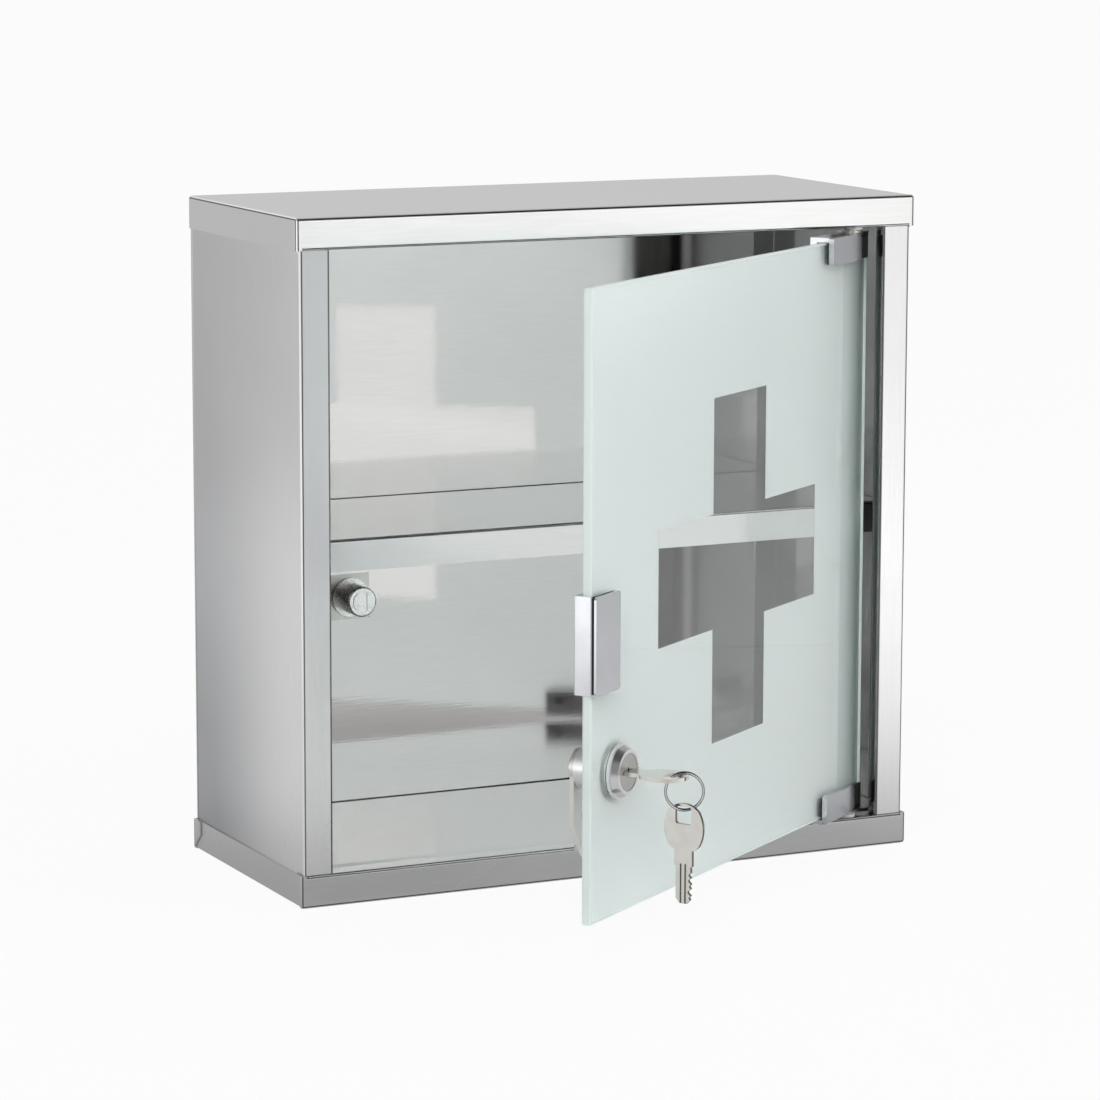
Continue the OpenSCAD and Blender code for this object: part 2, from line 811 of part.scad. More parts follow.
// Thin liner on the rear and the edge of the glass
module handle_liner() {
    u1 = glass_u1 + liner_t;
    u0 = handle_u1 - handle_jaw_w + 1;
    color([0.12, 0.12, 0.12]) on_door()
        translate([0, 0, handle_z - handle_h / 2 + 0.5]) linear_extrude(handle_h - 1) {
            translate([u0, film_n - liner_t]) square([u1 - u0, liner_t]);
            translate([glass_u1, film_n - liner_t]) square([liner_t, glass_n - film_n + liner_t]);
        }
}

module handle_foam() {
    color([0.08, 0.08, 0.08]) on_door() along_y(handle_front_n, handle_front_n + handle_foam_t)
        translate([handle_u1 - handle_plate_w + foam_inset,
            handle_z - handle_h / 2 + foam_inset])
            square([handle_plate_w - 2 * foam_inset, handle_h - 2 * foam_inset]);
}

module handle_cover() {
    n0 = handle_front_n + handle_foam_t;
    u0 = handle_u1 - handle_plate_w;
    color([0.77, 0.78, 0.80]) on_door() along_y(n0, n0 + handle_plate_t)
        translate([u0, handle_z - handle_h / 2])
            round_rect([handle_plate_w, handle_h], cover_r);
}

// Lock

module lock_housing() {
    color([0.76, 0.76, 0.77]) at_lock() difference() {
        union() {
            translate([0, 0, -barrel_len])
                linear_extrude(barrel_len + glass_n + gasket_t + fit) intersection() {
                    circle(barrel_r);
                    square([2 * barrel_r + cut, 2 * barrel_flat], center = true);
                }
            translate([0, 0, glass_n + gasket_t]) cylinder(h = bezel_base, r = bezel_r);
            translate([0, 0, glass_n + gasket_t + bezel_base])
                cylinder(h = bezel_h - gasket_t - bezel_base, r1 = bezel_r - 0.9,
                    r2 = plug_face_r + 1.4);
        }
        translate([0, 0, -barrel_len - cut])
            cylinder(h = barrel_len + bezel_top + 2 * cut, r = plug_r + run_gap);
        translate([0, 0, seat_n]) cylinder(h = bezel_h, r = plug_face_r + run_gap);
        rotate(40) translate([notch_r, -1.2, glass_n + gasket_t + bezel_base])
            cube([bezel_r, 2.4, bezel_h]);
    }
}

module lock_gasket() {
    color([0.10, 0.10, 0.10]) at_lock() translate([0, 0, glass_n])
        ring(gasket_t, bezel_r - 0.3, lock_hole_r);
}

module lock_washer() {
    color([0.72, 0.72, 0.72]) at_lock() translate([0, 0, film_n - washer_t])
        ring(washer_t, barrel_r + 3.8, barrel_r + 0.15);
}

module lock_nut() {
    color([0.74, 0.73, 0.70]) at_lock() translate([0, 0, film_n - washer_t - nut_t])
        difference() {
            cylinder(h = nut_t, r = nut_flat / 2 / cos(30), $fn = 6);
            translate([0, 0, -cut]) cylinder(h = nut_t + 2 * cut, r = barrel_r + fit);
        }
}

// Outline of the plug's tail, round with two flats, grown by g
module tail_outline(g) {
    intersection() {
        circle(tail_r + g);
        square([2 * tail_r + cut, 2 * (tail_flat + g)], center = true);
    }
}

// Places of the wafers, z = 0 on the rear face of each
module wafer_places() {
    for (i = [0 : wafer_count - 1])
        translate([0, 0, blade_end_n + 1.6 + i * wafer_pitch]) children();
}

module lock_plug() {
    shank_end = -barrel_len - 0.1;
    color([0.80, 0.78, 0.74]) at_lock() difference() {
        union() {
            translate([0, 0, shank_end]) cylinder(h = seat_n + 0.2 - shank_end, r = plug_r);
            translate([0, 0, seat_n + 0.1])
                cylinder(h = plug_top - seat_n - 0.1, r = plug_face_r);
            translate([0, 0, cam_n + 0.1]) linear_extrude(shank_end - cam_n) tail_outline(0);
        }
        translate([-slot_w / 2, -slot_t / 2, blade_end_n - 0.8])
            cube([slot_w, slot_t, plug_top - blade_end_n + 1]);
        translate([-ward_w / 2, -ward_h / 2, plug_top - 1.2]) cube([ward_w, ward_h, 1.2 + cut]);
        wafer_places() translate([-wafer_x - fit, -wafer_y - fit, -fit])
            cube([2 * (wafer_x + fit), 2 * (wafer_y + fit), wafer_t + 2 * fit]);
        translate([0, 0, cam_n - cut]) cylinder(h = screw_len + cut + 0.5, r = screw_r + fit);
    }
}

module lock_wafers() {
    color([0.78, 0.63, 0.32]) at_lock() wafer_places() linear_extrude(wafer_t) difference() {
        square([2 * wafer_x, 2 * wafer_y], center = true);
        square([slot_w + 0.1, slot_t + 0.1], center = true);
    }
}

module lock_cam() {
    color([0.70, 0.69, 0.66]) at_lock() difference() {
        intersection() {
            translate([0, 0, cam_n - cut]) linear_extrude(cam_t + cam_step + 2 * cut) {
                circle(cam_hub_r);
                translate([-cam_half_w, 0]) square([2 * cam_half_w, cam_len - cam_half_w]);
                translate([0, cam_len - cam_half_w]) circle(cam_half_w);
            }
            along_x(-cam_len, cam_len) polygon([
                [-cam_hub_r - cut, cam_n], [cam_bend, cam_n],
                [cam_bend + cam_slope, cam_n + cam_step], [cam_len + cut, cam_n + cam_step],
                [cam_len + cut, cam_n + cam_step + cam_t],
                [cam_bend + cam_slope - 0.5, cam_n + cam_step + cam_t],
                [cam_bend - 0.5, cam_n + cam_t], [-cam_hub_r - cut, cam_n + cam_t]]);
        }
        translate([0, 0, cam_n - cut]) linear_extrude(cam_t + 2 * cut) tail_outline(fit);
    }
}

module cam_screw() {
    head_h = 2.2;
    color([0.60, 0.60, 0.60]) at_lock() difference() {
        union() {
            translate([0, 0, cam_n - head_h]) cylinder(h = head_h, r = tail_r + 1.1);
            translate([0, 0, cam_n - fit]) cylinder(h = screw_len, r = screw_r);
        }
        for (turn = [0, 90]) rotate(turn)
            translate([-2.2, -0.45, cam_n - head_h - cut]) cube([4.4, 0.9, 1.2 + cut]);
    }
}

// Keys

// Key in its own plane: y = 0 on the shoulder, bow towards +y, blade towards -y
module key_outline() {
    difference() {
        union() {
            translate([0, neck_len]) intersection() {
                circle(bow_r);
                intersection_for (side = [-1, 1])
                    translate([side * (bow_side_r - bow_w / 2), 0]) circle(bow_side_r);
            }
            translate([-neck_w / 2, 0]) square([neck_w, neck_len]);
            polygon([[-blade_w / 2, fit], [-blade_w / 2, 2 - blade_len],
                [-blade_w / 2 + 2, -blade_len], [blade_w / 2 - 2, -blade_len],
                [blade_w / 2, 2 - blade_len], [blade_w / 2, fit]]);
        }
        translate([-hole_w / 2, neck_len + hole_y - hole_len / 2])
            round_rect([hole_w, hole_len], hole_r);
        for (i = [0 : len(notch_depths) - 1]) {
            y = -blade_len + 2.6 + i * wafer_pitch;
            d = notch_depths[i];
            polygon([[blade_w / 2 + cut, y - d - cut], [blade_w / 2 - d, y - 0.3],
                [blade_w / 2 - d, y + 0.3], [blade_w / 2 + cut, y + d + cut]]);
        }
    }
}

module key_body() {
    difference() {
        translate([0, 0, -key_t / 2]) linear_extrude(key_t) key_outline();
        for (x = [-groove_x, groove_x], z = [key_t / 2 - groove_d, -key_t / 2 - cut])
            translate([x - groove_w / 2, -blade_len - cut, z])
                cube([groove_w, blade_len + 2 * cut, groove_d + cut]);
    }
}

module key() {
    color([0.80, 0.79, 0.75]) at_lock() translate([0, 0, shoulder_n])
        rotate([90, 0, 0]) key_body();
}

// Two coils of wire lying side by side
module key_ring() {
    color([0.82, 0.82, 0.80]) on_door() translate([ring_u, ring_n, ring_z])
        rotate([0, 0, ring_turn]) rotate([0, 90, 0]) rotate_extrude()
            for (side = [-1, 1]) translate([ring_r, side * (wire_r - fit)]) circle(wire_r);
}

module spare_key() {
    color([0.80, 0.79, 0.75]) on_door() translate([ring_u, ring_n, spare_z])
        rotate([0, 0, 90 + ring_turn - spare_turn]) rotate([90, 0, 0]) key_body();
}

top_cap();
bottom_tray();
left_side();
right_side();
back_panel();
floor_sheet();
ceiling_sheet();
shelf();
catch_bracket();
catch_housing();
catch_magnet();
catch_pole_plates();
catch_rivet();
upper_hinge_bush();
lower_hinge_bush();
door_glass();
frosted_layer();
upper_hinge_clip();
upper_hinge_pad();
upper_hinge_pin();
upper_hinge_screws();
lower_hinge_clip();
lower_hinge_pad();
lower_hinge_pin();
lower_hinge_screws();
handle_clip();
handle_cover();
handle_foam();
handle_liner();
handle_screws();
lock_housing();
lock_gasket();
lock_washer();
lock_nut();
lock_plug();
lock_wafers();
lock_cam();
cam_screw();
key();
key_ring();
spare_key();
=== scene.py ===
import math

import bpy
from mathutils import Matrix, Vector

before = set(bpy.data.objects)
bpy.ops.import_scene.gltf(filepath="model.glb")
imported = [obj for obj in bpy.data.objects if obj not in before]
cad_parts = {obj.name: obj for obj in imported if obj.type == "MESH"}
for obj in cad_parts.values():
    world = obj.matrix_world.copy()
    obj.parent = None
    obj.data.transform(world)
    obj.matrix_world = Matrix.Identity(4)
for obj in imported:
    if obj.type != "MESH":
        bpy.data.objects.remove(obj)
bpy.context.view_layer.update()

# Camera, fitted to the corners of the cabinet in the photograph
CAMERA_AT = (-0.8515, -1.77388, 0.4613)
CAMERA_YAW = math.radians(25.63)
CAMERA_PITCH = math.radians(-9.33)
CAMERA_ROLL = math.radians(0.12)
CAMERA_LENS_MM = 143.03
SENSOR_MM = 36.0
CLIP_END = 50.0

WIDTH_AXIS = (1.0, 0.0, 0.0)
DEPTH_AXIS = (0.0, 1.0, 0.0)
HEIGHT_AXIS = (0.0, 0.0, 1.0)

CABINET_H = 0.3
# Inner faces of a sheet look towards this point, outer ones away from it
CABINET_MIDDLE = (0.0, 0.0, CABINET_H / 2)
# Only the front flange of a side panel lies in front of this depth
FLANGE_Y = -0.0635

# Door at rest: its opening angle, a point on the hinge axis, the direction to the free edge
# and the one out of the front
DOOR_OPEN = math.radians(36)
DOOR_AXIS = (0.1225, -0.059, 0.0)
DOOR_ALONG = (-math.cos(DOOR_OPEN), -math.sin(DOOR_OPEN), 0.0)
DOOR_OUT = (math.sin(DOOR_OPEN), -math.cos(DOOR_OPEN), 0.0)
# Clear cross in the frosting: distance from the axis, height, and width and height of an arm
CROSS_U = 0.1156
CROSS_Z = 0.149
CROSS_ARM_W = 0.0513
CROSS_ARM_H = 0.05

# Scale of the noise for fine grain and for cloudy tone, in the noise texture's own unit
SHEET_GRAIN = 900.0
SHEET_CLOUD = 9.0
PLATE_GRAIN = 1400.0
PLATE_CLOUD = 60.0
KEY_CLOUD = 90.0
DULL_GRAIN = 700.0
FROST_GRAIN = 2500.0
FROST_CLOUD = 14.0
# Span of the noise over which a roughness changes
NOISE_LOW = 0.3
NOISE_HIGH = 0.7
# Stretch of the noise that makes brushed grain run along the width or upright
GRAIN_ACROSS = (0.06, 1.0, 1.0)
GRAIN_UPRIGHT = (1.0, 1.0, 0.06)
# Depth of the relief of a grain and of the frosting
GRAIN_DEPTH = 0.0002
FROST_DEPTH = 0.0001
# Strength of that relief
SHEET_RELIEF = 0.035
PLATE_RELIEF = 0.03
WIRE_RELIEF = 0.02
DULL_RELIEF = 0.15
FROST_RELIEF = 0.1
# Darkest and lightest share of a colour in its cloudy or grainy change
SHEET_DARK = 0.95
PLATE_DARK = 0.93
CLOUD_LIGHT = 1.04
DULL_DARK = 0.8
DULL_LIGHT = 1.2
# Lowest and highest share of a roughness, and the roughness itself where a piece has its own
SHEET_ROUGH_MIN = 0.85
SHEET_ROUGH_MAX = 1.15
PLATE_ROUGH_MIN = 0.8
PLATE_ROUGH_MAX = 1.25
KEY_ROUGH = (0.14, 0.26)
TURNED_ROUGH = (0.22, 0.32)
WIRE_ROUGH = (0.08, 0.14)

# Painted shade along a side panel, darker towards its rear and lower end: its dark end, its reach
# before and behind the cabinet's middle, and the loss at the rear at the lower and the upper end
SIDE_SHADE_STEEL = (0.465, 0.475, 0.495)
SWEEP_REACH = 0.06
SWEEP_LOSS_LOW = 1.1
SWEEP_LOSS_HIGH = 0.27
# Height at which the painted shade of a flange that darkens upwards begins, and the left flange's loss at
# the top
FLANGE_SWEEP_Z = 0.02
LEFT_FLANGE_SHADE = 0.6

# Grain of a sheet: the darker tone mixed in, as a share of the colour, the least share of
# the sheet's own tone that stays, and the span of the noise between the two
GRAIN_TONE = 0.6
GRAIN_KEEP = 0.91
GRAIN_LOW = 0.25
GRAIN_HIGH = 0.75
# Part of the surface's normal along the axis where a bend's painted dark reflection runs: middle
# and width of its span
BEND_TILT = 0.9
BEND_SPREAD = 0.16
# Tone of that painted line, as a share of the sheet's colour
PAINTED_BEND_TONE = 0.2

# Nickel of a key: its faces, and its edges and grooves before that colour is scaled, down to a
# painted shade on the spare key and kept near full as a painted highlight on the key
NICKEL_LOW = (0.82, 0.80, 0.75)
NICKEL_HIGH = (0.95, 0.93, 0.89)
PAINTED_EDGE_NICKEL = (1.0, 0.97, 0.9)
# Depth below a key's face at which a groove begins
GROOVE_EDGE = 0.00008

# Turned body: part of the normal along its axis on its sides and on its face, and their colours
TURNED_SIDE = 0.5
TURNED_FACE = 0.95
TURNED_SIDE_COLOUR = (1.0, 0.97, 0.93)
TURNED_FACE_COLOUR = (1.0, 1.0, 0.99)

# Round wire: bias of the layer weight, its span at the outline, and the two tones, the outline's a painted
# dark reflection
RIM_BIAS = 0.45
RIM_FROM = 0.03
RIM_TO = 0.25
WIRE_MIDDLE = (0.8, 0.8, 0.8)
WIRE_DARK_REFLECTION = (0.04, 0.04, 0.045)

# Part of a normal along the door's, from which a face of the glass is its front or rear
FACE_TILT = 0.9
# Roughness of the glass under the frosting and on its ground edges
ETCHED_ROUGH = 0.5
GROUND_ROUGH = 0.3
# Share of the light that a ground edge keeps from passing
EDGE_STOP = 0.75
GLASS_IOR = 1.5
CLEAR_TINT = (0.955, 0.985, 0.975)
EDGE_TINT = (0.86, 0.96, 0.93)
GLASS_SHADOW = (0.95, 0.955, 0.95)

FROST_LOW = (0.93, 0.965, 0.965)
FROST_HIGH = (0.96, 0.985, 0.985)
FROST_SHADOW = (0.62, 0.615, 0.61)
FROST_ROUGH = 0.9
FROST_IOR = 1.45
FROST_PASS = 0.7
# Painted shade on the frosting beside the hinge: its tone there, the width of the steep change to
# the full tone, and the width and the start of the slow change over it
HINGE_SHADE_TONE = (0.48, 0.54, 0.52)
HINGE_SHADE_W = 0.02
HINGE_SLOW_W = 4 * HINGE_SHADE_W
HINGE_SLOW_START = 0.75

FLOOR_HALF = 12.0
FLOOR_COLOUR = (0.86, 0.86, 0.86)
FLOOR_ROUGH = 0.9
# What reflections see of the floor, darker by the object as a painted shadow: its level close to the
# object, beside it and far off, and the distances from the middle between which it changes
CLOSE_LEVEL = 0.42
BESIDE_LEVEL = 0.64
FAR_LEVEL = 1.0
CLOSE_R = 0.14
BESIDE_R = 0.3
OUTER_R = 0.4
FAR_R = 1.8
# Share of the floor's own glow in what the camera sees of it
FLOOR_GLOW = 0.92
# Light of the surroundings on the object, and what the camera and reflections see of them
AMBIENT_LEVEL = 0.6
WHITE_LEVEL = 1.0


def add_camera():
    """Camera looking along +Y, turned towards +X by the yaw and down by the pitch."""
    data = bpy.data.cameras.new("photo_camera")
    data.sensor_fit = "HORIZONTAL"
    data.sensor_width = SENSOR_MM
    data.lens = CAMERA_LENS_MM
    data.clip_end = CLIP_END
    camera = bpy.data.objects.new("photo_camera", data)
    bpy.context.scene.collection.objects.link(camera)
    turn = Matrix.Rotation(-CAMERA_YAW, 4, "Z")
    tilt = Matrix.Rotation(math.radians(90) + CAMERA_PITCH, 4, "X")
    roll = Matrix.Rotation(CAMERA_ROLL, 4, "Z")
    camera.matrix_world = Matrix.Translation(CAMERA_AT) @ turn @ tilt @ roll
    bpy.context.scene.camera = camera


def facing(at, target):
    """Turn of something at one point whose -Z side faces another."""
    return (Vector(target) - Vector(at)).to_track_quat("-Z", "Y").to_euler()


def add_area(name, at, target, size, power):
    """Soft lamp that lights the object but isn't seen in its reflections."""
    data = bpy.data.lights.new(name, "AREA")
    data.shape = "RECTANGLE"
    data.size, data.size_y = size
    data.energy = power
    lamp = bpy.data.objects.new(name, data)
    lamp.location = at
    lamp.rotation_euler = facing(at, target)
    lamp.visible_glossy = False
    bpy.context.scene.collection.objects.link(lamp)


def add_rectangle(name, half_width, half_height):
    """Flat rectangle round its own origin."""
    mesh = bpy.data.meshes.new(name)
    corners = [(-half_width, -half_height, 0), (half_width, -half_height, 0),
               (half_width, half_height, 0), (-half_width, half_height, 0)]
    mesh.from_pydata(corners, [], [(0, 1, 2, 3)])
    rectangle = bpy.data.objects.new(name, mesh)
    bpy.context.scene.collection.objects.link(rectangle)
    return rectangle


def add_card(name, at, target, size, level, top_level=None):
    """Card that only reflections see, like the flags and reflectors round a product.

    Its brightness is level, or runs from level at its lower end to top_level at its upper end.
    """
    width, height = size[0] / 2, size[1] / 2
    card = add_rectangle(name, width, height)
    card.location = at
    card.rotation_euler = facing(at, target)
    card.visible_camera = False
    card.visible_diffuse = False
    card.visible_shadow = False
    card.visible_transmission = False
    material, nodes = new_material(name)
    glow = nodes.add("ShaderNodeEmission")
    if top_level is None:
        glow.inputs["Strength"].default_value = level
    else:
        up = nodes.dot(nodes.place(), (0.0, 1.0, 0.0))
        nodes.link(nodes.ramp(up, -height, height, level, top_level), glow.inputs["Strength"])
    out = nodes.add("ShaderNodeOutputMaterial")
    nodes.link(glow.outputs[0], out.inputs["Surface"])
    card.data.materials.append(material)


class Nodes:
    """Short helper that adds and links shader nodes in one tree."""

    def __init__(self, tree):
        self.tree = tree
        tree.nodes.clear()

    def add(self, kind, **settings):
        node = self.tree.nodes.new(kind)
        for name, value in settings.items():
            setattr(node, name, value)
        return node

    def link(self, source, target):
        self.tree.links.new(source, target)

    def math(self, operation, a, b=None, clamp=False):
        node = self.add("ShaderNodeMath", operation=operation, use_clamp=clamp)
        for socket, value in zip(node.inputs, (a, b)):
            if value is None:
                continue
            if isinstance(value, (int, float)):
                socket.default_value = value
            else:
                self.link(value, socket)
        return node.outputs[0]

    def ramp(self, value, low, high, to_low=0.0, to_high=1.0):
        """value mapped smoothly from low..high to to_low..to_high."""
        node = self.add("ShaderNodeMapRange", interpolation_type="SMOOTHSTEP")
        self.link(value, node.inputs["Value"])
        node.inputs["From Min"].default_value = low
        node.inputs["From Max"].default_value = high
        node.inputs["To Min"].default_value = to_low
        node.inputs["To Max"].default_value = to_high
        return node.outputs["Result"]

    def follow(self, noise, to_low, to_high):
        """Value between to_low and to_high that changes with a noise."""
        return self.ramp(noise, NOISE_LOW, NOISE_HIGH, to_low, to_high)

    def blend(self, factor, a, b):
        """Colour between a and b."""
        node = self.add("ShaderNodeMix", data_type="RGBA")
        self.link(factor, node.inputs["Factor"])
        for socket, value in ((node.inputs["A"], a), (node.inputs["B"], b)):
            if isinstance(value, tuple):
                socket.default_value = (*value, 1.0)
            else:
                self.link(value, socket)
        return node.outputs["Result"]

    def place(self):
        """Shaded point in the object's own frame."""
        return self.add("ShaderNodeTexCoord").outputs["Object"]

    def normal(self):
        """Normal of the surface at that point, in the same frame."""
        return self.add("ShaderNodeTexCoord").outputs["Normal"]

    def offset_from(self, point):
        """Shaded point as seen from another."""
        offset = self.add("ShaderNodeVectorMath", operation="SUBTRACT")
        self.link(self.place(), offset.inputs[0])
        offset.inputs[1].default_value = point
        return offset.outputs[0]

    def dot(self, vector, direction):
        """Dot product of a vector with a fixed direction or with another vector."""
        node = self.add("ShaderNodeVectorMath", operation="DOT_PRODUCT")
        self.link(vector, node.inputs[0])
        if isinstance(direction, tuple):
            node.inputs[1].default_value = direction
        else:
            self.link(direction, node.inputs[1])
        return node.outputs["Value"]

    def within(self, value, middle, width):
        """1 where value is less than half the width from the middle."""
        offset = self.math("ABSOLUTE", self.math("SUBTRACT", value, middle))
        return self.math("LESS_THAN", offset, width / 2)

    def coordinates(self, scale=(1.0, 1.0, 1.0)):
        mapping = self.add("ShaderNodeMapping")
        mapping.inputs["Scale"].default_value = scale
        self.link(self.place(), mapping.inputs["Vector"])
        return mapping.outputs["Vector"]

    def noise(self, vector, scale, detail=2.0, roughness=0.5):
        node = self.add("ShaderNodeTexNoise")
        node.inputs["Scale"].default_value = scale
        node.inputs["Detail"].default_value = detail
        node.inputs["Roughness"].default_value = roughness
        self.link(vector, node.inputs["Vector"])
        return node.outputs["Fac"]

    def bump(self, height, strength, distance=GRAIN_DEPTH):
        node = self.add("ShaderNodeBump")
        node.inputs["Strength"].default_value = strength
        node.inputs["Distance"].default_value = distance
        self.link(height, node.inputs["Height"])
        return node.outputs["Normal"]

    def mix_shaders(self, factor, a, b):
        """Shader a where factor is 0, b where it is 1."""
        mix = self.add("ShaderNodeMixShader")
        self.link(factor, mix.inputs["Fac"])
        self.link(a, mix.inputs[1])
        self.link(b, mix.inputs[2])
        return mix.outputs[0]

    def surface(self, **values):
        shader = self.add("ShaderNodeBsdfPrincipled")
        out = self.add("ShaderNodeOutputMaterial")
        for name, value in values.items():
            socket = shader.inputs[name.replace("_", " ")]
            if isinstance(value, tuple):
                socket.default_value = (*value, 1.0)
            elif isinstance(value, (int, float)):
                socket.default_value = value
            else:
                self.link(value, socket)
        self.link(shader.outputs[0], out.inputs["Surface"])
        return shader, out

    def metal(self, tone, rough, grain, strength):
        """Metal surface with a tone, a roughness and the relief of its grain."""
        self.surface(Base_Color=tone, Metallic=1.0, Roughness=rough, Normal=self.bump(grain, strength))


def new_material(name):
    material = bpy.data.materials.new(name)
    material.use_nodes = True
    return material, Nodes(material.node_tree)


def shade(colour, factor):
    return tuple(min(1.0, c * factor) for c in colour)


def cloudy(nodes, cloud, colour, dark):
    """Colour that changes a little with a cloudy noise, down to the share dark of itself."""
    return nodes.blend(cloud, shade(colour, dark), shade(colour, CLOUD_LIGHT))


def inner_mask(nodes):
    """1 on faces that look towards the middle of the cabinet, 0 on its outside."""
    facing_out = nodes.dot(nodes.offset_from(CABINET_MIDDLE), nodes.normal())
    return nodes.math("LESS_THAN", facing_out, 0.0)


def painted_side_shade(nodes, flange_shade):
    """Painted shade of a side panel: 1 at its front, falling towards its rear and lower end.

    Its flange is 1 at the lower end and falls by flange_shade towards the upper one.
    """
    depth = nodes.dot(nodes.place(), DEPTH_AXIS)
    height = nodes.dot(nodes.place(), HEIGHT_AXIS)
    loss = nodes.ramp(height, 0.0, CABINET_H, SWEEP_LOSS_LOW, SWEEP_LOSS_HIGH)
    rear = nodes.ramp(depth, -SWEEP_REACH, SWEEP_REACH)
    web = nodes.math("SUBTRACT", 1.0, nodes.math("MULTIPLY", rear, loss))
    flange = nodes.math("LESS_THAN", depth, FLANGE_Y)
    upper = nodes.ramp(height, FLANGE_SWEEP_Z, CABINET_H, 0.0, flange_shade)
    return nodes.math("SUBTRACT", nodes.math("MAXIMUM", web, flange),
                      nodes.math("MULTIPLY", flange, upper))


def painted_bend_lines(nodes, axes):
    """1 where an outer bend runs into a face across one of the axes: a thin line of painted dark reflection
    along the bend.
    """
    lines = 0.0
    for axis in axes:
        tilt = nodes.math("ABSOLUTE", nodes.dot(nodes.normal(), axis))
        lines = nodes.math("MAXIMUM", lines, nodes.within(tilt, BEND_TILT, BEND_SPREAD))
    return lines


def sheet_steel(name, grain, colour, outer_rough, inner_rough, painted_inner_tone=1.0, flange_shade=None,
                lines=(DEPTH_AXIS,)):
    """Stainless sheet: satin outside, bright rolled finish inside under painted shade, fine grain along one
    axis.

    Bends carry a thin painted dark reflection beside their bright edge. A sheet with a share for its
    flange carries the painted shade of a side panel.
    """
    material, nodes = new_material(name)
    fine = nodes.noise(nodes.coordinates(grain), SHEET_GRAIN, detail=3.0, roughness=0.6)
    cloud = nodes.noise(nodes.coordinates(), SHEET_CLOUD, detail=3.0, roughness=0.55)
    inner = inner_mask(nodes)
    outside = cloudy(nodes, cloud, colour, SHEET_DARK)
    # Painted shade along a side panel
    if flange_shade is not None:
        outside = nodes.blend(painted_side_shade(nodes, flange_shade), SIDE_SHADE_STEEL, outside)
    # Inner faces are darkened by the inner tone: painted shade inside the cabinet
    inside = cloudy(nodes, cloud, shade(colour, painted_inner_tone), SHEET_DARK)
    kept = nodes.ramp(fine, GRAIN_LOW, GRAIN_HIGH, GRAIN_KEEP, 1.0)
    tone = nodes.blend(kept, shade(colour, GRAIN_TONE), nodes.blend(inner, outside, inside))
    # Painted dark reflection along the bends
    tone = nodes.blend(painted_bend_lines(nodes, lines), tone, shade(colour, PAINTED_BEND_TONE))
    outer = nodes.follow(cloud, outer_rough * SHEET_ROUGH_MIN, outer_rough * SHEET_ROUGH_MAX)
    rough = nodes.add("ShaderNodeMix", data_type="FLOAT")
    nodes.link(inner, rough.inputs["Factor"])
    nodes.link(outer, rough.inputs["A"])
    rough.inputs["B"].default_value = inner_rough
    nodes.metal(tone, rough.outputs["Result"], fine, SHEET_RELIEF)
    return material


def plain_metal(name, colour, rough):
    """Metal of one colour, with a little cloudy change in tone and roughness."""
    material, nodes = new_material(name)
    fine = nodes.noise(nodes.coordinates(), PLATE_GRAIN)
    cloud = nodes.noise(nodes.coordinates(), PLATE_CLOUD, detail=3.0, roughness=0.6)
    spread = nodes.follow(cloud, rough * PLATE_ROUGH_MIN, rough * PLATE_ROUGH_MAX)
    nodes.metal(cloudy(nodes, cloud, colour, PLATE_DARK), spread, fine, PLATE_RELIEF)
    return material


def flat_of(mesh):
    """Normal that most of a mesh's area shares, and the middle and half of its extent along that."""
    areas = {}
    for face in mesh.polygons:
        normal = tuple(round(abs(v), 3) for v in face.normal)
        areas.setdefault(normal, [0.0, face.normal.copy()])[0] += face.area
    normal = max(areas.values(), key=lambda entry: entry[0])[1]
    heights = [vertex.co.dot(normal) for vertex in mesh.vertices]
    return tuple(normal), (min(heights) + max(heights)) / 2, (max(heights) - min(heights)) / 2


def key_metal(name, node, painted_edge_tone):
    """Nickel key: bright faces, and a scaled colour in the milled grooves and along the cut edge: a painted
    shade when scaled down, a painted highlight when kept bright.
    """
    material, nodes = new_material(name)
    normal, middle, half = flat_of(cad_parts[node].data)
    height = nodes.math("SUBTRACT", nodes.dot(nodes.place(), normal), middle)
    on_face = nodes.math("GREATER_THAN", nodes.math("ABSOLUTE", height), half - GROOVE_EDGE)
    fine = nodes.noise(nodes.coordinates(), PLATE_GRAIN)
    cloud = nodes.noise(nodes.coordinates(), KEY_CLOUD, detail=3.0, roughness=0.6)
    face = nodes.blend(cloud, NICKEL_LOW, NICKEL_HIGH)
    tone = nodes.blend(on_face, shade(PAINTED_EDGE_NICKEL, painted_edge_tone), face)
    nodes.metal(tone, nodes.follow(cloud, *KEY_ROUGH), fine, PLATE_RELIEF)
    return material


def turned_metal(name, face_tone, side_tone):
    """Plated round body: bright on its face, dark on its turned sides and in the slots."""
    material, nodes = new_material(name)
    tilt = nodes.math("ABSOLUTE", nodes.dot(nodes.normal(), DEPTH_AXIS))
    on_face = nodes.ramp(tilt, TURNED_SIDE, TURNED_FACE)
    fine = nodes.noise(nodes.coordinates(), PLATE_GRAIN)
    tone = nodes.blend(on_face, shade(TURNED_SIDE_COLOUR, side_tone), shade(TURNED_FACE_COLOUR, face_tone))
    nodes.metal(tone, nodes.follow(fine, *TURNED_ROUGH), fine, PLATE_RELIEF)
    return material


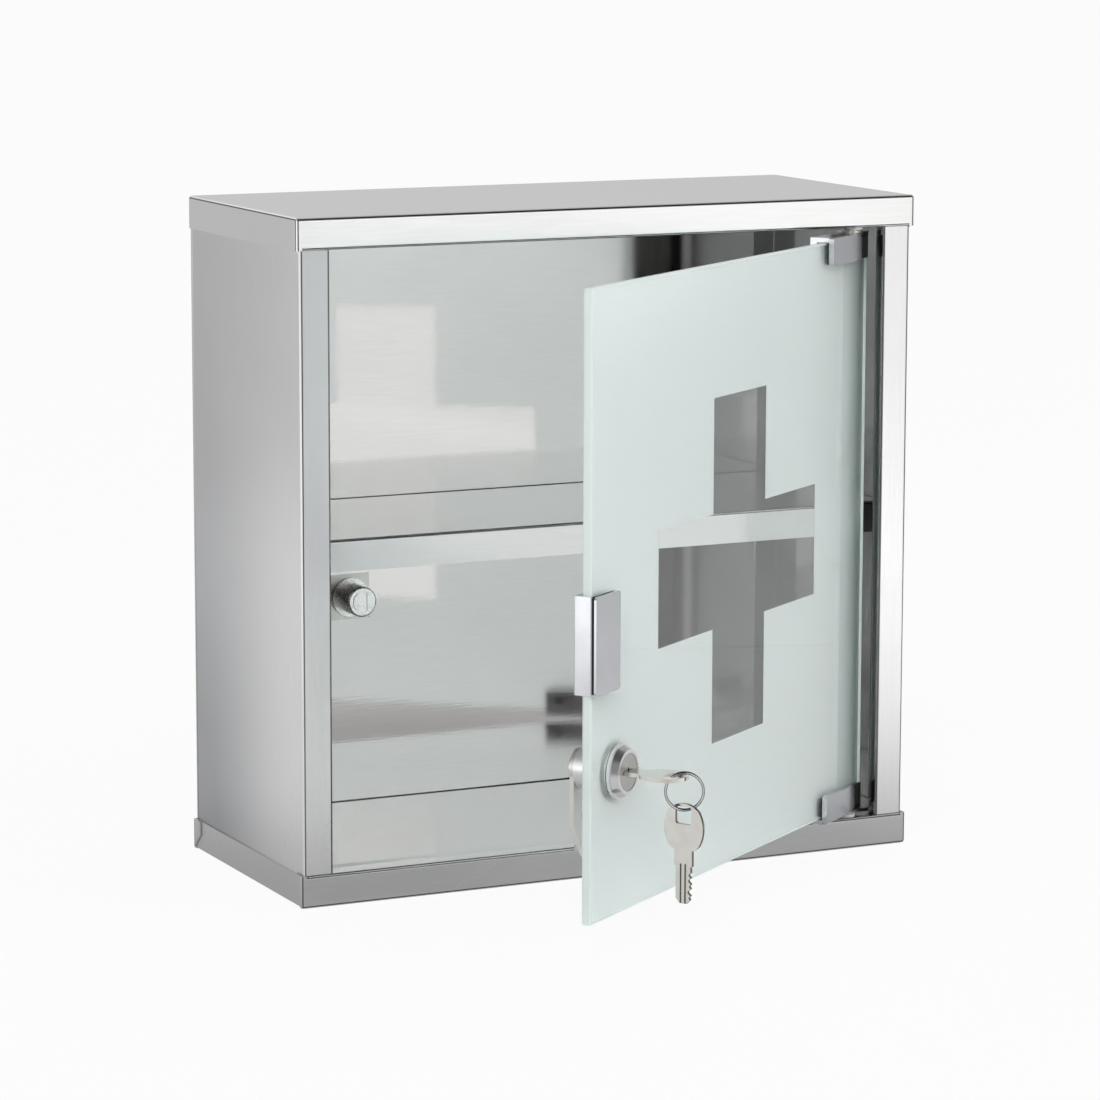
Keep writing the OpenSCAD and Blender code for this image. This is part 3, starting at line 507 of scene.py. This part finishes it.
def round_wire(name):
    """Bright round wire with a painted dark reflection towards its outline."""
    material, nodes = new_material(name)
    fine = nodes.noise(nodes.coordinates(), PLATE_GRAIN)
    weight = nodes.add("ShaderNodeLayerWeight")
    weight.inputs["Blend"].default_value = RIM_BIAS
    # Painted dark reflection at the outline
    rim = nodes.ramp(weight.outputs["Facing"], RIM_FROM, RIM_TO)
    tone = nodes.blend(rim, WIRE_MIDDLE, WIRE_DARK_REFLECTION)
    nodes.metal(tone, nodes.follow(fine, *WIRE_ROUGH), fine, WIRE_RELIEF)
    return material


def dull(name, colour, rough):
    """Rubber, plastic or ceramic with a fine uneven grain."""
    material, nodes = new_material(name)
    fine = nodes.noise(nodes.coordinates(), DULL_GRAIN, detail=3.0, roughness=0.6)
    tone = nodes.blend(fine, shade(colour, DULL_DARK), shade(colour, DULL_LIGHT))
    nodes.surface(Base_Color=tone, Roughness=rough, Normal=nodes.bump(fine, DULL_RELIEF))
    return material


def cross_mask(nodes):
    """1 inside the clear cross of the door."""
    from_axis = nodes.offset_from(DOOR_AXIS)
    along = nodes.dot(from_axis, DOOR_ALONG)
    height = nodes.dot(from_axis, HEIGHT_AXIS)
    arms = nodes.math("MULTIPLY", nodes.within(along, CROSS_U, 3 * CROSS_ARM_W),
                      nodes.within(height, CROSS_Z, CROSS_ARM_H))
    post = nodes.math("MULTIPLY", nodes.within(along, CROSS_U, CROSS_ARM_W),
                      nodes.within(height, CROSS_Z, 3 * CROSS_ARM_H))
    return nodes.math("MAXIMUM", arms, post)


def door_surface(name):
    """Glass polished on its front and in the cross, etched on the rest of its rear, ground on its edges."""
    material, nodes = new_material(name)
    out_of_front = nodes.dot(nodes.normal(), DOOR_OUT)
    rear = nodes.math("LESS_THAN", out_of_front, -FACE_TILT)
    etched = nodes.math("MULTIPLY", rear, nodes.math("SUBTRACT", 1.0, cross_mask(nodes)))
    edge = nodes.math("LESS_THAN", nodes.math("ABSOLUTE", out_of_front), FACE_TILT)
    rough = nodes.math("MAXIMUM", nodes.math("MULTIPLY", etched, ETCHED_ROUGH),
                       nodes.math("MULTIPLY", edge, GROUND_ROUGH))
    tint = nodes.blend(edge, CLEAR_TINT, EDGE_TINT)
    clear = nodes.math("SUBTRACT", 1.0, nodes.math("MULTIPLY", edge, EDGE_STOP))
    shader, out = nodes.surface(
        Base_Color=tint, Roughness=rough, IOR=GLASS_IOR, Transmission_Weight=clear)
    let_lamps_through(nodes, shader, out, GLASS_SHADOW)
    return material


def frosting(name):
    """Frosting on the rear of the glass: part of the light scatters back, the rest goes through.

    It carries painted shade towards the hinge, where the cabinet's front stands close behind the glass.
    """
    material, nodes = new_material(name)
    cloud = nodes.noise(nodes.coordinates(), FROST_CLOUD)
    fine = nodes.noise(nodes.coordinates(), FROST_GRAIN)
    tone = nodes.blend(cloud, FROST_LOW, FROST_HIGH)
    along = nodes.dot(nodes.place(), DOOR_ALONG)
    start = min(vertex.co.dot(DOOR_ALONG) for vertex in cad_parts["frosted_layer"].data.vertices)
    # Painted shade beside the hinge, on the front face only
    rear = nodes.math("LESS_THAN", nodes.dot(nodes.normal(), DOOR_OUT), 0.0)
    light = nodes.math("MULTIPLY", nodes.ramp(along, start, start + HINGE_SHADE_W),
                       nodes.ramp(along, start, start + HINGE_SLOW_W, HINGE_SLOW_START, 1.0))
    tone = nodes.blend(nodes.math("MAXIMUM", light, rear), HINGE_SHADE_TONE, tone)
    shader, out = nodes.surface(
        Base_Color=tone, Roughness=FROST_ROUGH, IOR=FROST_IOR, Transmission_Weight=FROST_PASS,
        Normal=nodes.bump(fine, FROST_RELIEF, FROST_DEPTH))
    let_lamps_through(nodes, shader, out, FROST_SHADOW)
    return material


def let_lamps_through(nodes, shader, out, tint):
    """Lamp light passes the surface in this tint instead of being stopped by it."""
    open_air = nodes.add("ShaderNodeBsdfTransparent")
    open_air.inputs["Color"].default_value = (*tint, 1.0)
    mixed = nodes.mix_shaders(seen_rays(nodes, "Is Shadow Ray"), shader.outputs[0], open_air.outputs[0])
    nodes.link(mixed, out.inputs["Surface"])


def seen_rays(nodes, *names):
    """1 for the named kinds of ray, 0 for the rest."""
    path = nodes.add("ShaderNodeLightPath")
    total = path.outputs[names[0]]
    for name in names[1:]:
        total = nodes.math("MAXIMUM", total, path.outputs[name])
    return total


def add_floor():
    """Pale floor, white to the camera; reflections see it grey by the object, a painted shadow, and white
    further off.
    """
    floor = add_rectangle("floor", FLOOR_HALF, FLOOR_HALF)
    material, nodes = new_material("floor")
    shader, out = nodes.surface(Base_Color=FLOOR_COLOUR, Roughness=FLOOR_ROUGH)
    reach = nodes.add("ShaderNodeVectorMath", operation="LENGTH")
    nodes.link(nodes.place(), reach.inputs[0])
    distance = reach.outputs["Value"]
    # Painted shadow round the object, seen only in reflections
    level = nodes.math("ADD", nodes.ramp(distance, CLOSE_R, BESIDE_R, CLOSE_LEVEL, BESIDE_LEVEL),
                       nodes.ramp(distance, OUTER_R, FAR_R, 0.0, FAR_LEVEL - BESIDE_LEVEL))
    direct = seen_rays(nodes, "Is Camera Ray", "Is Transmission Ray")
    glow = nodes.add("ShaderNodeEmission")
    nodes.link(nodes.math("MAXIMUM", level, direct), glow.inputs["Strength"])
    share = nodes.math("MULTIPLY", direct, FLOOR_GLOW)
    share = nodes.math("MAXIMUM", share, seen_rays(nodes, "Is Glossy Ray"))
    nodes.link(nodes.mix_shaders(share, shader.outputs[0], glow.outputs[0]), out.inputs["Surface"])
    floor.data.materials.append(material)


def background(nodes, level):
    """White surroundings of one level."""
    node = nodes.add("ShaderNodeBackground")
    # The default colour of this node is dark grey
    node.inputs["Color"].default_value = (1.0, 1.0, 1.0, 1.0)
    node.inputs["Strength"].default_value = level
    return node.outputs[0]


def add_world():
    """White surroundings, dimmer as a light on the object than as seen or mirrored."""
    world = bpy.data.worlds.new("studio")
    world.use_nodes = True
    bpy.context.scene.world = world
    nodes = Nodes(world.node_tree)
    seen = seen_rays(nodes, "Is Camera Ray", "Is Transmission Ray", "Is Glossy Ray")
    mixed = nodes.mix_shaders(seen, background(nodes, AMBIENT_LEVEL), background(nodes, WHITE_LEVEL))
    out = nodes.add("ShaderNodeOutputWorld")
    nodes.link(mixed, out.inputs["Surface"])


def paint(material, *names):
    """Gives the named pieces this material as their only one."""
    for name in names:
        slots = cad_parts[name].data.materials
        slots.clear()
        slots.append(material)


add_camera()
add_world()
add_floor()

# Lamps: place, point they face, size and power
add_area("key_light", (-1.4, -2.2, 2.2), CABINET_MIDDLE, (1.6, 1.6), 30.0)
add_area("fill_light", (1.8, -1.8, 1.2), CABINET_MIDDLE, (1.4, 1.8), 14.0)

# Cards: place, point they face, size, brightness, and for one its brightness at the top
add_card("camera_card", (-0.38, -0.72, 0.45), (0.0, 0.0, 0.45), (0.30, 0.9), 0.03)
add_card("ceiling_card", (0.0, -0.7, 1.4), (0.0, -0.7, 0.0), (2.2, 1.5), 0.05)
add_card("sky_card", (0.0, 0.0, 1.6), (0.0, 0.0, 0.0), (5.0, 5.0), 0.42)
add_card("back_left_card", (-0.55, 0.95, 0.35), (0.0, 0.0, 0.35), (1.1, 0.7), 0.5)
add_card("right_card", (0.62, -0.1, 0.45), (0.0, -0.1, 0.45), (1.3, 0.9), 0.5)
add_card("right_low_card", (0.6, -0.15, 0.06), (0.0, -0.15, 0.06), (0.6, 0.11), 0.7, 0.5)
add_card("left_card", (-0.75, -0.32, 0.12), (0.0, -0.32, 0.12), (0.28, 0.24), 1.7)
add_card("front_left_card", (0.19, -0.9, 0.1), (-0.14, -0.07, 0.15), (0.36, 0.18), 0.6)
add_card("front_right_card", (0.78, -0.92, 0.01), (0.78, -0.92, 1.0), (0.9, 1.5), 1.25)
add_card("right_near_card", (0.265, -0.34, 0.01), (0.265, -0.34, 1.0), (0.12, 0.3), 0.95)
add_card("back_card", (0.9, 2.2, 0.75), (0.0, 0.0, 0.75), (2.6, 1.1), 0.58)

# Sheets: grain, colour, roughness outside and inside
paint(sheet_steel("cap_steel", GRAIN_ACROSS, (0.97, 0.97, 0.96), 0.2, 0.1,
                  lines=(WIDTH_AXIS, DEPTH_AXIS)), "top_cap")
# The tray's sheet is darker than the other outer sheets: painted shade, as it sits low by the floor
paint(sheet_steel("tray_steel", GRAIN_ACROSS, (0.75, 0.75, 0.755), 0.28, 0.1), "bottom_tray")
paint(sheet_steel("left_steel", GRAIN_UPRIGHT, (0.95, 0.95, 0.95), 0.32, 0.1,
                  painted_inner_tone=0.45, flange_shade=LEFT_FLANGE_SHADE), "left_side")
paint(sheet_steel("right_steel", GRAIN_UPRIGHT, (0.95, 0.95, 0.95), 0.3, 0.1,
                  painted_inner_tone=0.27, flange_shade=0.0), "right_side")
paint(sheet_steel("inner_steel", GRAIN_ACROSS, (0.79, 0.77, 0.76), 0.3, 0.06), "back_panel")
paint(sheet_steel("shelf_steel", GRAIN_ACROSS, (0.76, 0.76, 0.755), 0.22, 0.16),
      "shelf", "floor_sheet", "ceiling_sheet")

# Small metal pieces: colour and roughness, or the tones of faces and edges
paint(plain_metal("plated", (0.72, 0.71, 0.68), 0.3), "catch_bracket",
      "catch_rivet", "lock_washer", "lock_nut", "lock_cam", "cam_screw",
      "upper_hinge_pin", "lower_hinge_pin")
paint(turned_metal("catch_metal", 0.98, 0.2), "catch_housing", "catch_pole_plates")
paint(plain_metal("matt_chrome", (0.66, 0.67, 0.70), 0.2), "upper_hinge_clip",
      "lower_hinge_clip", "handle_clip", "handle_cover")
paint(plain_metal("bright_chrome", (0.84, 0.84, 0.85), 0.3), "lock_housing")
paint(round_wire("ring_chrome"), "key_ring")
# The key's edge and grooves keep a painted highlight, the spare key's are darkened to painted shade
paint(key_metal("key_nickel", "key", 0.85), "key")
paint(key_metal("spare_nickel", "spare_key", 0.22), "spare_key")
paint(plain_metal("plug_nickel", (0.52, 0.52, 0.50), 0.2), "lock_plug")
paint(plain_metal("wafer_brass", (0.72, 0.55, 0.26), 0.3), "lock_wafers")

# Rubber, plastic, magnet, screws and the door's glass
paint(dull("rubber", (0.02, 0.02, 0.02), 0.6), "upper_hinge_pad", "lower_hinge_pad",
      "handle_foam", "handle_liner", "lock_gasket")
paint(dull("nylon", (0.78, 0.77, 0.73), 0.45), "upper_hinge_bush", "lower_hinge_bush")
paint(dull("ferrite", (0.06, 0.06, 0.065), 0.5), "catch_magnet")
paint(plain_metal("black_steel", (0.10, 0.10, 0.10), 0.4), "upper_hinge_screws",
      "lower_hinge_screws", "handle_screws")
paint(door_surface("glass"), "door_glass")
paint(frosting("frost"), "frosted_layer")

bpy.context.scene.view_settings.view_transform = "Standard"
